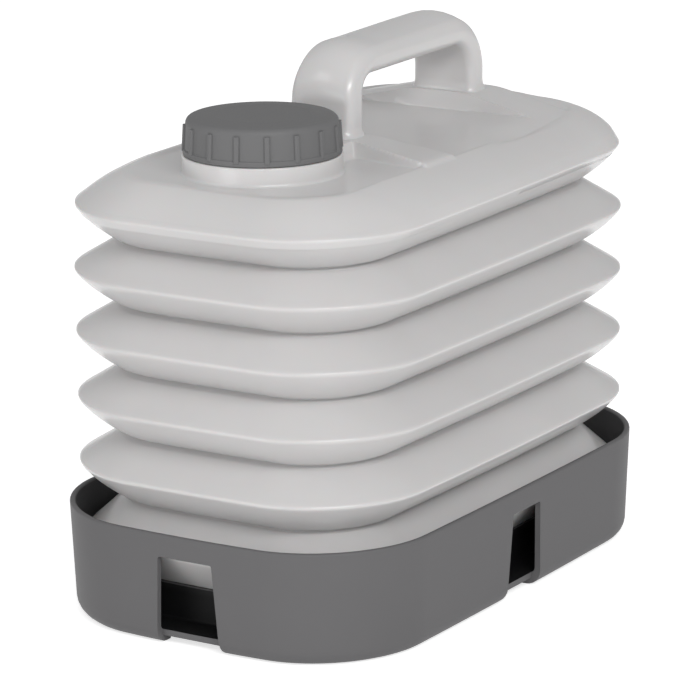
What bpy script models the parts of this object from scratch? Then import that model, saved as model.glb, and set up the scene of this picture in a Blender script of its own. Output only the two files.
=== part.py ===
# Collapsible bellows water container in its tray.
# Metres, +Z up, origin on the ground under the middle of the tray. The neck is at the -X end.
import math

import bmesh
import bpy

# Outline of a bellows fold, seen from above: a rounded rectangle whose sides bow out a little
FOLD_LENGTH = 0.310
FOLD_WIDTH = 0.1916
FOLD_CORNER = 0.0594
FOLD_END_BOW = 0.0035
FOLD_SIDE_BOW = 0.0031
SMALLEST_CORNER = 0.0080
# Section of the bellows
FOLD_PITCH = 0.0338
FOLD_DEPTH = 0.0199
FOLD_COUNT = 4
TIP_FLAT = 0.0012
TANK_WALL = 0.0016
GAP = 0.0003
# Bottom of the tank, which sits inside the tray
BOTTOM_TIP_HEIGHT = 0.0440
BOTTOM_TIP_INSET = 0.0040
BOTTOM_FLOOR_HEIGHT = 0.0255
BOTTOM_PITCH = 0.0373
BOTTOM_ROUND = 0.0015
BOTTOM_FLOOR_INSET = 0.0030
# Top shell: a dome with pockets sunk in it round the neck and under the handle
SHELL_INSET = 0.0020
BAND_BULGE_INSET = 0.0070
BAND_BULGE_RISE = 0.0110
CREASE_INSET = 0.0300
CREASE_RISE = 0.0186
CROWN_INSET = 0.0420
CROWN_RISE = 0.0240
TABLE_INSET = 0.0525
TABLE_RISE = 0.0273
NECK_END_LEAD = 0.0095
LEAD_STARTS_AT = 0.16
LEAD_ENDS_AT = 0.32
POCKET_DEPTH = 0.0041
POCKET_WALL_INSET = 0.0040
POCKET_LIP = 0.0007
POCKET_OPENING_LEAN = 0.67
RIDGE_FOOT_Y = 0.0190
RIDGE_OVERRUN = 0.0120
NEAR_RIDGE_FOOT = (-0.0030, 0.0155)
NEAR_RIDGE_END = (-0.0150, 0.0120)
FAR_WALL_FOOT = -0.0155
FAR_WALL_END = -0.0260
WALL_LEAN = 0.0040
CUT_ROOM = 0.0040
SADDLE_CLEARANCE = 0.0005
SADDLE_WIDTH = 0.0340
SADDLE_RISE = 0.0088
# Handle, along the length
HANDLE_WIDTH = 0.0340
HANDLE_FROM_NECK = 0.0548
HANDLE_FROM_FAR_END = 0.0530
HANDLE_TOP_RISE = 0.0400
HANDLE_LEG = 0.0130
HANDLE_BAR = 0.0145
HANDLE_BEND_RISE = 0.0285
HANDLE_NEAR_BEND = 0.0385
HANDLE_FAR_BEND = 0.0295
HANDLE_INNER_BEND = 0.0095
HANDLE_EDGE = 0.0050
HANDLE_WALL = 0.0025
# Neck and its thread
NECK_FROM_END = 0.0682
NECK_BORE = 0.0305
NECK_CORE = 0.0340
COLLAR_RADIUS = 0.0405
COLLAR_HEIGHT = 0.0096
COLLAR_FLARE = 0.0010
COLLAR_CHAMFER = 0.0006
NECK_HEIGHT = 0.0240
THREAD_LEAD = 0.0050
THREAD_DEPTH = 0.0015
THREAD_BASE = 0.0022
THREAD_CREST = 0.0008
THREAD_TURNS = 1.5
THREAD_START = 0.0030
THREAD_PLAY = 0.0007
# Cap
CAP_FLANGE_RADIUS = 0.0400
CAP_FLANGE_HEIGHT = 0.0020
CAP_SKIRT_RADIUS = 0.0382
CAP_SKIRT_TAPER = 0.0008
CAP_SHOULDER_HEIGHT = 0.0155
CAP_SHOULDER_RADIUS = 0.0356
CAP_SHOULDER_ROUND = 0.0014
CAP_CROWN_RADIUS = 0.0324
CAP_CROWN_DROP = 0.0008
CAP_DISC_RADIUS = 0.0214
CAP_HEIGHT = 0.0190
CAP_BAR_COUNT = 16
CAP_BAR_DEPTH = 0.0011
CAP_BAR_SHARE = 0.26
CAP_BAR_SLOPE = 0.07
SEAL_THICKNESS = 0.0018
SEAL_INNER_RADIUS = 0.0285
# Tray
TRAY_END_ROOM = 0.0031
TRAY_SIDE_ROOM = 0.0057
TRAY_CORNER = 0.0600
TRAY_END_BOW = 0.0063
TRAY_SIDE_BOW = 0.0019
TRAY_HEIGHT = 0.0595
TRAY_WALL = 0.0030
TRAY_DRAFT = 0.0025
TRAY_FOOT_RADIUS = 0.0070
TRAY_FOOT_WIDTH = 0.0030
TRAY_FLOOR_UNDERSIDE = 0.0040
TRAY_FLOOR_FILLET = 0.0030
PEDESTAL_DRAFT = 0.0006
PEDESTAL_CHAMFER = 0.0010
RIM_ROUND = 0.0008
WINDOW_TOP = 0.0477
WINDOW_FOOT = 0.0065
END_WINDOW_TOP_WIDTH = 0.0320
END_WINDOW_FOOT_WIDTH = 0.0370
SIDE_WINDOW_TOP_WIDTH = 0.0280
SIDE_WINDOW_FOOT_WIDTH = 0.0340
WINDOW_CUT = 0.0075
WINDOW_OVERLAP = 0.0010
# Mesh density
CORNER_STEPS = 5
END_STEPS = 2
SIDE_STEPS = 4
ROUND_STEPS = 32

# Places and heights that follow from the sizes above
TRAY_LENGTH = FOLD_LENGTH + 2 * TRAY_END_ROOM
TRAY_WIDTH = FOLD_WIDTH + 2 * TRAY_SIDE_ROOM
NECK_X = NECK_FROM_END - FOLD_LENGTH / 2
HANDLE_NEAR_X = NECK_X + HANDLE_FROM_NECK
HANDLE_FAR_X = FOLD_LENGTH / 2 - HANDLE_FROM_FAR_END
SADDLE_START = NECK_X + COLLAR_RADIUS + COLLAR_FLARE + SADDLE_CLEARANCE
LOWEST_FREE_TIP = BOTTOM_TIP_HEIGHT + BOTTOM_PITCH
SHELL_TIP = LOWEST_FREE_TIP + FOLD_COUNT * FOLD_PITCH
CREASE_HEIGHT = SHELL_TIP + CREASE_RISE
DECK_HEIGHT = CREASE_HEIGHT - POCKET_DEPTH
DOME_HEIGHT = SHELL_TIP + TABLE_RISE
COLLAR_TOP = DECK_HEIGHT + COLLAR_HEIGHT
NECK_TOP = DECK_HEIGHT + NECK_HEIGHT
CAP_FOOT = COLLAR_TOP + GAP
TRAY_FLOOR = TRAY_FLOOR_UNDERSIDE + TRAY_WALL
PEDESTAL_TOP = BOTTOM_FLOOR_HEIGHT - GAP
HALF_FOLD = FOLD_PITCH / 2


def outline(length, width, corner, end_bow, side_bow, inset):
    """Points (x, y) round a rounded rectangle with bowed sides, pulled in by inset."""
    half_length = length / 2 - inset
    half_width = width / 2 - inset
    radius = max(corner - inset, SMALLEST_CORNER)
    points = []
    for quarter in range(4):
        sign_x = (1, -1, -1, 1)[quarter]
        sign_y = (1, 1, -1, -1)[quarter]
        centre_x = sign_x * (half_length - radius)
        centre_y = sign_y * (half_width - radius)
        for step in range(CORNER_STEPS + 1):
            angle = math.pi / 2 * (quarter + step / CORNER_STEPS)
            points.append((centre_x + radius * math.cos(angle), centre_y + radius * math.sin(angle)))
        along_side = quarter in (0, 2)
        steps = SIDE_STEPS if along_side else END_STEPS
        last_x, last_y = points[-1]
        for step in range(1, steps):
            share = step / steps
            if along_side:
                points.append((last_x * (1 - 2 * share), last_y))
            else:
                points.append((last_x, last_y * (1 - 2 * share)))
    bowed = []
    for x, y in points:
        if abs(x) >= half_length - radius - 1e-9:
            x += math.copysign(end_bow * (1 - (y / half_width) ** 2), x)
        if abs(y) >= half_width - radius - 1e-9:
            y += math.copysign(side_bow * max(0.0, 1 - (x / half_length) ** 2), y)
        bowed.append((x, y))
    return bowed


def fold_outline(inset):
    return outline(FOLD_LENGTH, FOLD_WIDTH, FOLD_CORNER, FOLD_END_BOW, FOLD_SIDE_BOW, inset)


def tray_outline(inset):
    return outline(TRAY_LENGTH, TRAY_WIDTH, TRAY_CORNER, TRAY_END_BOW, TRAY_SIDE_BOW, inset)


def ring(points, height):
    return [(x, y, height) for x, y in points]


def circle(radius, height, steps=ROUND_STEPS, centre_x=NECK_X):
    angles = [2 * math.pi * i / steps for i in range(steps)]
    return [(centre_x + radius * math.cos(angle), radius * math.sin(angle), height) for angle in angles]


def loft(name, rings, closed=False):
    """Mesh through rings of equal count: closed joins last to first, otherwise both ends are capped."""
    mesh = bmesh.new()
    rows = [[mesh.verts.new(point) for point in points] for points in rings]
    count = len(rows[0])
    pairs = list(zip(rows, rows[1:]))
    if closed:
        pairs.append((rows[-1], rows[0]))
    else:
        mesh.faces.new(rows[0])
        mesh.faces.new(rows[-1])
    for low, high in pairs:
        for i in range(count):
            mesh.faces.new((low[i], low[(i + 1) % count], high[(i + 1) % count], high[i]))
    return finish_mesh(name, mesh)


def finish_mesh(name, mesh):
    bmesh.ops.recalc_face_normals(mesh, faces=mesh.faces)
    data = bpy.data.meshes.new(name)
    mesh.to_mesh(data)
    mesh.free()
    data.shade_smooth()
    data.set_sharp_from_angle(angle=math.radians(30))
    piece = bpy.data.objects.new(name, data)
    bpy.context.scene.collection.objects.link(piece)
    return piece


def prism(name, corners_low, corners_high):
    return loft(name, [corners_low, corners_high])


def combine(piece, other, operation):
    """Boolean of piece with a helper, which stays in the file as a hidden guide."""
    other.hide_render = True
    other.display_type = "WIRE"
    step = piece.modifiers.new(other.name, "BOOLEAN")
    step.operation = operation
    step.solver = "EXACT"
    step.object = other


def material(name, colour, roughness):
    made = bpy.data.materials.new(name)
    made.use_nodes = True
    surface = made.node_tree.nodes["Principled BSDF"]
    surface.inputs["Base Color"].default_value = (*colour, 1)
    surface.inputs["Roughness"].default_value = roughness
    surface.inputs["Metallic"].default_value = 0
    return made


def dress(piece, finish):
    piece.data.materials.append(finish)
    return piece


def cone_rings(top_inset, top_height, tip_inset, tip_height):
    """Closed section of one upper fold panel, from the valley above down to the tip."""
    return [
        ring(fold_outline(top_inset), top_height),
        ring(fold_outline(tip_inset + TIP_FLAT), tip_height + TIP_FLAT),
        ring(fold_outline(tip_inset), tip_height),
        ring(fold_outline(tip_inset + 1.4 * TANK_WALL), tip_height),
        ring(fold_outline(top_inset), top_height - 1.3 * TANK_WALL),
    ]


def web_rings(tip_inset, tip_height, valley_inset, valley_height):
    """Closed section of one lower fold panel, from under the tip in to the valley below."""
    top = tip_height - GAP
    foot = valley_height + GAP
    return [
        ring(fold_outline(tip_inset + 0.3 * TANK_WALL), top),
        ring(fold_outline(valley_inset), foot),
        ring(fold_outline(valley_inset), foot + 1.3 * TANK_WALL),
        ring(fold_outline(tip_inset + 1.7 * TANK_WALL), top),
    ]


def make_tray(finish):
    inner = TRAY_WALL
    low_inset = TRAY_DRAFT
    radius = TRAY_FOOT_RADIUS
    fillet_x = low_inset + radius
    skin = [
        ring(fold_outline(FOLD_DEPTH + PEDESTAL_CHAMFER), PEDESTAL_TOP),
        ring(fold_outline(FOLD_DEPTH), PEDESTAL_TOP - PEDESTAL_CHAMFER),
        ring(fold_outline(FOLD_DEPTH - PEDESTAL_DRAFT), TRAY_FLOOR),
        ring(tray_outline(low_inset + inner + TRAY_FLOOR_FILLET), TRAY_FLOOR),
        ring(tray_outline(low_inset + inner), TRAY_FLOOR + TRAY_FLOOR_FILLET),
        ring(tray_outline(inner), TRAY_HEIGHT - RIM_ROUND),
        ring(tray_outline(inner - RIM_ROUND), TRAY_HEIGHT),
        ring(tray_outline(RIM_ROUND), TRAY_HEIGHT),
        ring(tray_outline(0), TRAY_HEIGHT - RIM_ROUND),
    ]
    for step in range(4):
        angle = math.radians(30 * step)
        inset = fillet_x - radius * math.cos(angle)
        skin.append(ring(tray_outline(inset), radius - radius * math.sin(angle)))
    foot_inner = fillet_x + TRAY_FOOT_WIDTH
    hollow = FOLD_DEPTH + TRAY_WALL
    skin += [
        ring(tray_outline(foot_inner), 0),
        ring(tray_outline(foot_inner + PEDESTAL_DRAFT), TRAY_FLOOR_UNDERSIDE),
        ring(fold_outline(hollow - PEDESTAL_DRAFT), TRAY_FLOOR_UNDERSIDE),
        ring(fold_outline(hollow), PEDESTAL_TOP - TRAY_WALL),
    ]
    tray = loft("tray", skin)
    cut_window(tray, "neck_end", True, -1)
    cut_window(tray, "far_end", True, 1)
    cut_window(tray, "front", False, -1)
    cut_window(tray, "back", False, 1)
    return dress(tray, finish)


def cut_window(tray, name, along_x, sign):
    """A tapered window through the wall, open under the floor's edge."""
    if along_x:
        face = TRAY_LENGTH / 2 + TRAY_END_BOW
        top_half = END_WINDOW_TOP_WIDTH / 2
        foot_half = END_WINDOW_FOOT_WIDTH / 2
    else:
        face = TRAY_WIDTH / 2 + TRAY_SIDE_BOW
        top_half = SIDE_WINDOW_TOP_WIDTH / 2
        foot_half = SIDE_WINDOW_FOOT_WIDTH / 2

    def corner(depth, across, height):
        reach = sign * (face - depth)
        return (reach, across, height) if along_x else (across, reach, height)

    slope = (foot_half - top_half) / (WINDOW_TOP - WINDOW_FOOT)
    lowest = -CUT_ROOM / 2
    low_half = foot_half + slope * (WINDOW_FOOT - lowest)
    rings = []
    for depth in (-CUT_ROOM, WINDOW_CUT):
        rings.append([
            corner(depth, -low_half, lowest),
            corner(depth, low_half, lowest),
            corner(depth, top_half, WINDOW_TOP),
            corner(depth, -top_half, WINDOW_TOP),
        ])
    window = prism("window_cut_" + name, rings[0], rings[1])
    combine(tray, window, "DIFFERENCE")
    rings = []
    notch_end = WINDOW_CUT + TRAY_FOOT_RADIUS + 2 * TRAY_FOOT_WIDTH
    for depth in (WINDOW_CUT - WINDOW_OVERLAP, notch_end):
        rings.append([
            corner(depth, -low_half, lowest),
            corner(depth, low_half, lowest),
            corner(depth, low_half, TRAY_FLOOR_UNDERSIDE),
            corner(depth, -low_half, TRAY_FLOOR_UNDERSIDE),
        ])
    notch = prism("foot_notch_" + name, rings[0], rings[1])
    combine(tray, notch, "DIFFERENCE")


def make_bottom(finish):
    """Bottom pan of the tank: flat floor, lower panel, tip and the first upper panel."""
    valley_height = LOWEST_FREE_TIP - HALF_FOLD
    wall = TANK_WALL
    skin = [
        ring(fold_outline(FOLD_DEPTH + BOTTOM_FLOOR_INSET), BOTTOM_FLOOR_HEIGHT),
        ring(fold_outline(FOLD_DEPTH), BOTTOM_FLOOR_HEIGHT + BOTTOM_ROUND),
        ring(fold_outline(BOTTOM_TIP_INSET + TIP_FLAT / 2), BOTTOM_TIP_HEIGHT - TIP_FLAT),
        ring(fold_outline(BOTTOM_TIP_INSET), BOTTOM_TIP_HEIGHT),
        ring(fold_outline(BOTTOM_TIP_INSET + TIP_FLAT), BOTTOM_TIP_HEIGHT + BOTTOM_ROUND),
        ring(fold_outline(FOLD_DEPTH), valley_height),
        ring(fold_outline(FOLD_DEPTH), valley_height - 1.3 * wall),
        ring(fold_outline(BOTTOM_TIP_INSET + 1.5 * wall), BOTTOM_TIP_HEIGHT),
        ring(fold_outline(FOLD_DEPTH + 0.6 * wall), BOTTOM_FLOOR_HEIGHT + 1.75 * wall),
        ring(fold_outline(FOLD_DEPTH + 2.2 * wall), BOTTOM_FLOOR_HEIGHT + wall),
    ]
    return dress(loft("tank_bottom", skin), finish)


def make_folds(finish):
    for number in range(1, FOLD_COUNT + 1):
        tip = SHELL_TIP - number * FOLD_PITCH
        rings = cone_rings(FOLD_DEPTH, tip + HALF_FOLD, 0, tip)
        dress(loft(f"fold_panel_{number}", rings, closed=True), finish)
    for number in range(FOLD_COUNT + 1):
        tip = SHELL_TIP - number * FOLD_PITCH
        inset = SHELL_INSET if number == 0 else 0
        rings = web_rings(inset, tip, FOLD_DEPTH, tip - HALF_FOLD)
        dress(loft(f"fold_web_{number}", rings, closed=True), finish)


def band_point(share):
    """Inset and rise of the top shell's convex band, from its tip to the crease."""
    bulge = 2 * share * (1 - share)
    inset = bulge * BAND_BULGE_INSET + share**2 * CREASE_INSET
    return inset, bulge * BAND_BULGE_RISE + share**2 * CREASE_RISE


def deck_outline(inset):
    """Outline on the top shell, which runs further out at the neck end."""
    lead = NECK_END_LEAD * min(1.0, inset / CREASE_INSET)
    points = []
    for x, y in fold_outline(inset + SHELL_INSET):
        share = (-x / FOLD_LENGTH - LEAD_STARTS_AT) / (LEAD_ENDS_AT - LEAD_STARTS_AT)
        points.append((x - lead * min(1.0, max(0.0, share)), y))
    return points


def dome_volume(name, wall):
    """Solid of the dome's outside, or with a wall the solid of its inside."""
    rings = []
    if wall:
        rings.append(ring(deck_outline(1.7 * wall), SHELL_TIP - CUT_ROOM))
    rings.append(ring(deck_outline(1.7 * wall), SHELL_TIP))
    steps = 5
    for step in range(1, steps + 1):
        inset, rise = band_point(step / steps)
        rings.append(ring(deck_outline(inset + wall), SHELL_TIP + rise - wall))
    rings.append(ring(deck_outline(CROWN_INSET), SHELL_TIP + CROWN_RISE - wall))
    rings.append(ring(deck_outline(TABLE_INSET), DOME_HEIGHT - wall))
    return loft(name, rings)


def cross_block(name, wall, foot_near, foot_far, end_near, end_far):
    """Solid that stays standing across the pocket, with leaning walls towards -X and +X."""
    end_y = FOLD_WIDTH / 2 - SHELL_INSET - CREASE_INSET + RIDGE_OVERRUN
    low = DECK_HEIGHT - wall - CUT_ROOM
    high = DOME_HEIGHT + 2 * CUT_ROOM
    lean = WALL_LEAN * (high - low) / (DOME_HEIGHT - DECK_HEIGHT)
    rings = []
    for y, near, far in (
        (-end_y, end_near, end_far),
        (-RIDGE_FOOT_Y, foot_near, foot_far),
        (RIDGE_FOOT_Y, foot_near, foot_far),
        (end_y, end_near, end_far),
    ):
        rings.append([
            (near - WALL_LEAN + wall, y, low),
            (near - WALL_LEAN + lean + wall, y, high),
            (far + WALL_LEAN - lean - wall, y, high),
            (far + WALL_LEAN - wall, y, low),
        ])
    return loft(name, rings)


def pocket_volume(name, wall):
    """Cutter for the pockets: everything inside the crease except the ridges that are left standing."""
    rim = CREASE_INSET - wall
    over = DOME_HEIGHT + CUT_ROOM
    opened = rim - POCKET_OPENING_LEAN * (over - CREASE_HEIGHT)
    pocket = loft(name, [
        ring(deck_outline(rim + POCKET_WALL_INSET), DECK_HEIGHT - wall),
        ring(deck_outline(rim + POCKET_LIP), CREASE_HEIGHT - POCKET_LIP - wall),
        ring(deck_outline(opened), over),
    ])
    tag = "_of_" + name
    near_foot = [HANDLE_NEAR_X + place for place in NEAR_RIDGE_FOOT]
    near_end = [HANDLE_NEAR_X + place for place in NEAR_RIDGE_END]
    near = cross_block("near_ridge" + tag, wall, *near_foot, *near_end)
    combine(pocket, near, "DIFFERENCE")
    beyond = FOLD_LENGTH
    far_foot = HANDLE_FAR_X + FAR_WALL_FOOT
    far_end = HANDLE_FAR_X + FAR_WALL_END
    far = cross_block("far_end" + tag, wall, far_foot, beyond, far_end, beyond)
    combine(pocket, far, "DIFFERENCE")
    half = SADDLE_WIDTH / 2 - wall
    low = DECK_HEIGHT - wall - CUT_ROOM
    high = DECK_HEIGHT + SADDLE_RISE - wall
    section = ((-half, low), (half, low), (half, high), (-half, high))
    starts = [(SADDLE_START + wall, y, z) for y, z in section]
    ends = [(HANDLE_NEAR_X + HANDLE_LEG / 2, y, z) for y, z in section]
    combine(pocket, prism("saddle" + tag, starts, ends), "DIFFERENCE")
    return pocket


def make_top_shell(finish):
    shell = dome_volume("top_shell", 0)
    inside = dome_volume("shell_inside", TANK_WALL)
    combine(shell, pocket_volume("pocket", 0), "DIFFERENCE")
    combine(inside, pocket_volume("pocket_inside", TANK_WALL), "DIFFERENCE")
    combine(shell, inside, "DIFFERENCE")
    mouth_rings = [circle(NECK_BORE, DECK_HEIGHT - CUT_ROOM), circle(NECK_BORE, DECK_HEIGHT + CUT_ROOM)]
    mouth = loft("mouth_cut", mouth_rings)
    combine(shell, mouth, "DIFFERENCE")
    return dress(shell, finish)


def rounded_section(width, thickness, edge):
    """Points (across the thickness, across the width) of a rounded rectangle."""
    points = []
    steps = 2
    for quarter in range(4):
        sign_u = (1, -1, -1, 1)[quarter]
        sign_v = (1, 1, -1, -1)[quarter]
        for step in range(steps + 1):
            angle = math.pi / 2 * (quarter + step / steps)
            u = sign_u * (thickness / 2 - edge) + edge * math.cos(angle)
            v = sign_v * (width / 2 - edge) + edge * math.sin(angle)
            points.append((u, v))
    return points


def handle_stations():
    """Pairs of points (x, z) on the handle's outer and inner curves, from foot to foot."""
    foot = DOME_HEIGHT + GAP
    top = DOME_HEIGHT + HANDLE_TOP_RISE
    inner_near = HANDLE_NEAR_X + HANDLE_LEG
    inner_far = HANDLE_FAR_X - HANDLE_LEG
    inner_top = top - HANDLE_BAR
    outer = [(HANDLE_NEAR_X, foot)]
    inner = [(inner_near, foot)]
    steps = 6
    rise = HANDLE_BEND_RISE
    tight = HANDLE_INNER_BEND
    for step in range(steps + 1):
        angle = math.pi - math.pi / 2 * step / steps
        outer.append(arc(HANDLE_NEAR_X + HANDLE_NEAR_BEND, top - rise, HANDLE_NEAR_BEND, angle, rise))
        inner.append(arc(inner_near + tight, inner_top - tight, tight, angle, tight))
    for step in range(steps + 1):
        angle = math.pi / 2 - math.pi / 2 * step / steps
        outer.append(arc(HANDLE_FAR_X - HANDLE_FAR_BEND, top - rise, HANDLE_FAR_BEND, angle, rise))
        inner.append(arc(inner_far - tight, inner_top - tight, tight, angle, tight))
    outer.append((HANDLE_FAR_X, foot))
    inner.append((inner_far, foot))
    return list(zip(outer, inner))


def arc(centre_x, centre_z, radius, angle, rise):
    """Point on an ellipse: radius along the first axis and rise along the second."""
    return centre_x + radius * math.cos(angle), centre_z + rise * math.sin(angle)


def handle_ring(outer, inner, wall):
    thickness = math.dist(outer, inner)
    across = ((outer[0] - inner[0]) / thickness, (outer[1] - inner[1]) / thickness)
    middle = ((outer[0] + inner[0]) / 2, (outer[1] + inner[1]) / 2)
    section = rounded_section(HANDLE_WIDTH - 2 * wall, thickness - 2 * wall, HANDLE_EDGE - 0.6 * wall)
    return [(middle[0] + u * across[0], v, middle[1] + u * across[1]) for u, v in section]


def make_handle(finish):
    stations = handle_stations()
    outside = [handle_ring(outer, inner, 0) for outer, inner in stations]
    inside = [handle_ring(outer, inner, HANDLE_WALL) for outer, inner in reversed(stations)]
    return dress(loft("handle", outside + inside, closed=True), finish)


def thread_share(angle, height, start, turns):
    """How far the thread stands up at this point, from 0 to 1: a right-hand helix with faded ends."""
    turn = angle / (2 * math.pi)
    best = 0.0
    for whole in range(-1, math.ceil(turns) + 1):
        wound = turn + whole
        if not 0 <= wound <= turns:
            continue
        offset = abs(height - start - wound * THREAD_LEAD)
        ramp = (THREAD_BASE - THREAD_CREST) / 2
        rise = min(1.0, max(0.0, (THREAD_BASE / 2 - offset) / ramp))
        fade = min(1.0, 12 * wound, 12 * (turns - wound))
        best = max(best, rise * fade)
    return best


def threaded_rings(radius, depth, low, high, start, turns):
    """Rings up a threaded wall; depth is positive on the neck and negative inside the cap."""
    rows = round((high - low) / (THREAD_LEAD / 8))
    rings = []
    for row in range(rows + 1):
        height = low + (high - low) * row / rows
        points = []
        for i in range(ROUND_STEPS):
            angle = 2 * math.pi * i / ROUND_STEPS
            here = radius + depth * thread_share(angle, height, start, turns)
            points.append((NECK_X + here * math.cos(angle), here * math.sin(angle), height))
        rings.append(points)
    return rings


def make_neck(finish):
    foot = DECK_HEIGHT + GAP
    start = COLLAR_TOP + THREAD_START
    rings = [
        circle(NECK_BORE, foot),
        circle(COLLAR_RADIUS + COLLAR_FLARE, foot),
        circle(COLLAR_RADIUS, foot + COLLAR_FLARE),
        circle(COLLAR_RADIUS, COLLAR_TOP - COLLAR_CHAMFER),
        circle(COLLAR_RADIUS - COLLAR_CHAMFER, COLLAR_TOP),
    ]
    lip = NECK_TOP - COLLAR_CHAMFER
    rings += threaded_rings(NECK_CORE, THREAD_DEPTH, COLLAR_TOP, lip, start, THREAD_TURNS)
    rings += [circle(NECK_CORE - COLLAR_CHAMFER, NECK_TOP), circle(NECK_BORE, NECK_TOP)]
    return dress(loft("neck", rings, closed=True), finish)


def bar_ring(base, depth, height):
    """One level of the cap's skirt, with its grip bars standing out by depth."""
    points = []
    pitch = 2 * math.pi / CAP_BAR_COUNT
    half = CAP_BAR_SHARE * pitch / 2
    edge = CAP_BAR_SLOPE * pitch
    for bar in range(CAP_BAR_COUNT):
        middle = bar * pitch
        for angle, out in ((-half - edge, 0), (-half, depth), (half, depth), (half + edge, 0)):
            x, y = arc(NECK_X, 0, base + out, middle + angle, base + out)
            points.append((x, y, height))
    return points


def make_cap(finish):
    """The outside is lofted with its bars, then a threaded bore is cut out of it from below."""
    flange_top = CAP_FOOT + CAP_FLANGE_HEIGHT
    shoulder = CAP_FOOT + CAP_SHOULDER_HEIGHT
    top = CAP_FOOT + CAP_HEIGHT
    taper = CAP_SKIRT_RADIUS - CAP_SKIRT_TAPER
    outside = [
        bar_ring(CAP_FLANGE_RADIUS, 0, CAP_FOOT),
        bar_ring(CAP_FLANGE_RADIUS, 0, flange_top),
        bar_ring(CAP_SKIRT_RADIUS, CAP_BAR_DEPTH, flange_top + CAP_SKIRT_TAPER),
        bar_ring(taper, CAP_BAR_DEPTH, shoulder - CAP_BAR_DEPTH),
        bar_ring(taper - CAP_SKIRT_TAPER, 0, shoulder),
        bar_ring(CAP_SHOULDER_RADIUS, 0, shoulder + CAP_SHOULDER_ROUND),
        bar_ring(CAP_CROWN_RADIUS, 0, top - CAP_CROWN_DROP),
        bar_ring(CAP_DISC_RADIUS, 0, top),
    ]
    cap = loft("cap", outside)
    bore_radius = NECK_CORE + THREAD_DEPTH + THREAD_PLAY
    start = COLLAR_TOP + THREAD_START + THREAD_LEAD / 2
    ceiling = NECK_TOP + SEAL_THICKNESS + 2 * GAP
    bore = [circle(bore_radius, CAP_FOOT - CUT_ROOM)]
    bore += threaded_rings(bore_radius, -THREAD_DEPTH, CAP_FOOT, NECK_TOP, start, THREAD_TURNS)
    bore.append(circle(bore_radius - THREAD_DEPTH, ceiling))
    combine(cap, loft("cap_bore", bore), "DIFFERENCE")
    return dress(cap, finish)


def make_seal(finish):
    low = NECK_TOP + GAP
    high = low + SEAL_THICKNESS
    outer = NECK_CORE - GAP
    outer_rings = [circle(outer, low), circle(outer, high)]
    inner_rings = [circle(SEAL_INNER_RADIUS, high), circle(SEAL_INNER_RADIUS, low)]
    return dress(loft("cap_seal", outer_rings + inner_rings, closed=True), finish)


def main():
    for old in list(bpy.data.objects):
        bpy.data.objects.remove(old)
    tank = material("pale_polyethylene", (0.62, 0.60, 0.59), 0.35)
    grey = material("dark_grey_plastic", (0.16, 0.16, 0.165), 0.5)
    rubber = material("seal_rubber", (0.75, 0.75, 0.74), 0.7)
    make_tray(grey)
    make_bottom(tank)
    make_folds(tank)
    make_top_shell(tank)
    make_handle(tank)
    make_neck(tank)
    make_cap(grey)
    make_seal(rubber)


main()
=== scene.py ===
import math

import bmesh
import bpy
from mathutils import Matrix, Vector


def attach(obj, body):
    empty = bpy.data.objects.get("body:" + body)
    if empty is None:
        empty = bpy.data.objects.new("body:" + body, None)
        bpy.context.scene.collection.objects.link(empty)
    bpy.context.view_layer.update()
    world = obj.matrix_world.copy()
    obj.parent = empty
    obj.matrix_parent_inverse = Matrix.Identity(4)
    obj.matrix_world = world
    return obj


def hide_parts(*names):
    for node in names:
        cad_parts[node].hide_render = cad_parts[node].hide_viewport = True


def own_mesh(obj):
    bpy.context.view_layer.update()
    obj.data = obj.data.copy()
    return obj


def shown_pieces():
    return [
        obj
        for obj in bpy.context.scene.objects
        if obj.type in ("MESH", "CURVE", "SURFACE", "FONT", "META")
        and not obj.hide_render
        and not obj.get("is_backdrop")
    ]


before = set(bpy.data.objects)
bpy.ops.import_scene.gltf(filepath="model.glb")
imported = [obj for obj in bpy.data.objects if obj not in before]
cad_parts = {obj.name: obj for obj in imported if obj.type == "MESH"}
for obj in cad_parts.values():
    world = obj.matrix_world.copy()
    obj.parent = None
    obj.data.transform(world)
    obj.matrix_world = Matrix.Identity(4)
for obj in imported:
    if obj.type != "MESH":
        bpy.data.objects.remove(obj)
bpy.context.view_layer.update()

mm = 0.001

# Outlines seen from above: rounded rectangles whose sides bow out a little. All sizes are in millimetres
foldOutline = {"length": 310.0, "width": 191.6, "corner": 59.4, "endBow": 3.5, "sideBow": 3.1}
trayOutline = {"length": 316.2, "width": 203.0, "corner": 60.0, "endBow": 6.3, "sideBow": 1.9}
leastCorner = 8.0    # radius of the corners of an outline that is pulled far in
neckX = -86.8        # axis of the neck and the cap
tipHeight = 216.5    # tip of the uppermost fold


def clamp(value, low=0.0, high=1.0):
    return max(low, min(high, value))


def mix(a, b, share):
    return a + (b - a) * share


def smoothStep(value):
    value = clamp(value)
    return value * value * (3 - 2 * value)


def smoothMin(a, b, reach):
    share = clamp(0.5 + 0.5 * (b - a) / reach)
    return b + (a - b) * share - reach * share * (1 - share)


def smoothMax(a, b, reach):
    return -smoothMin(-a, -b, reach)


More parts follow.
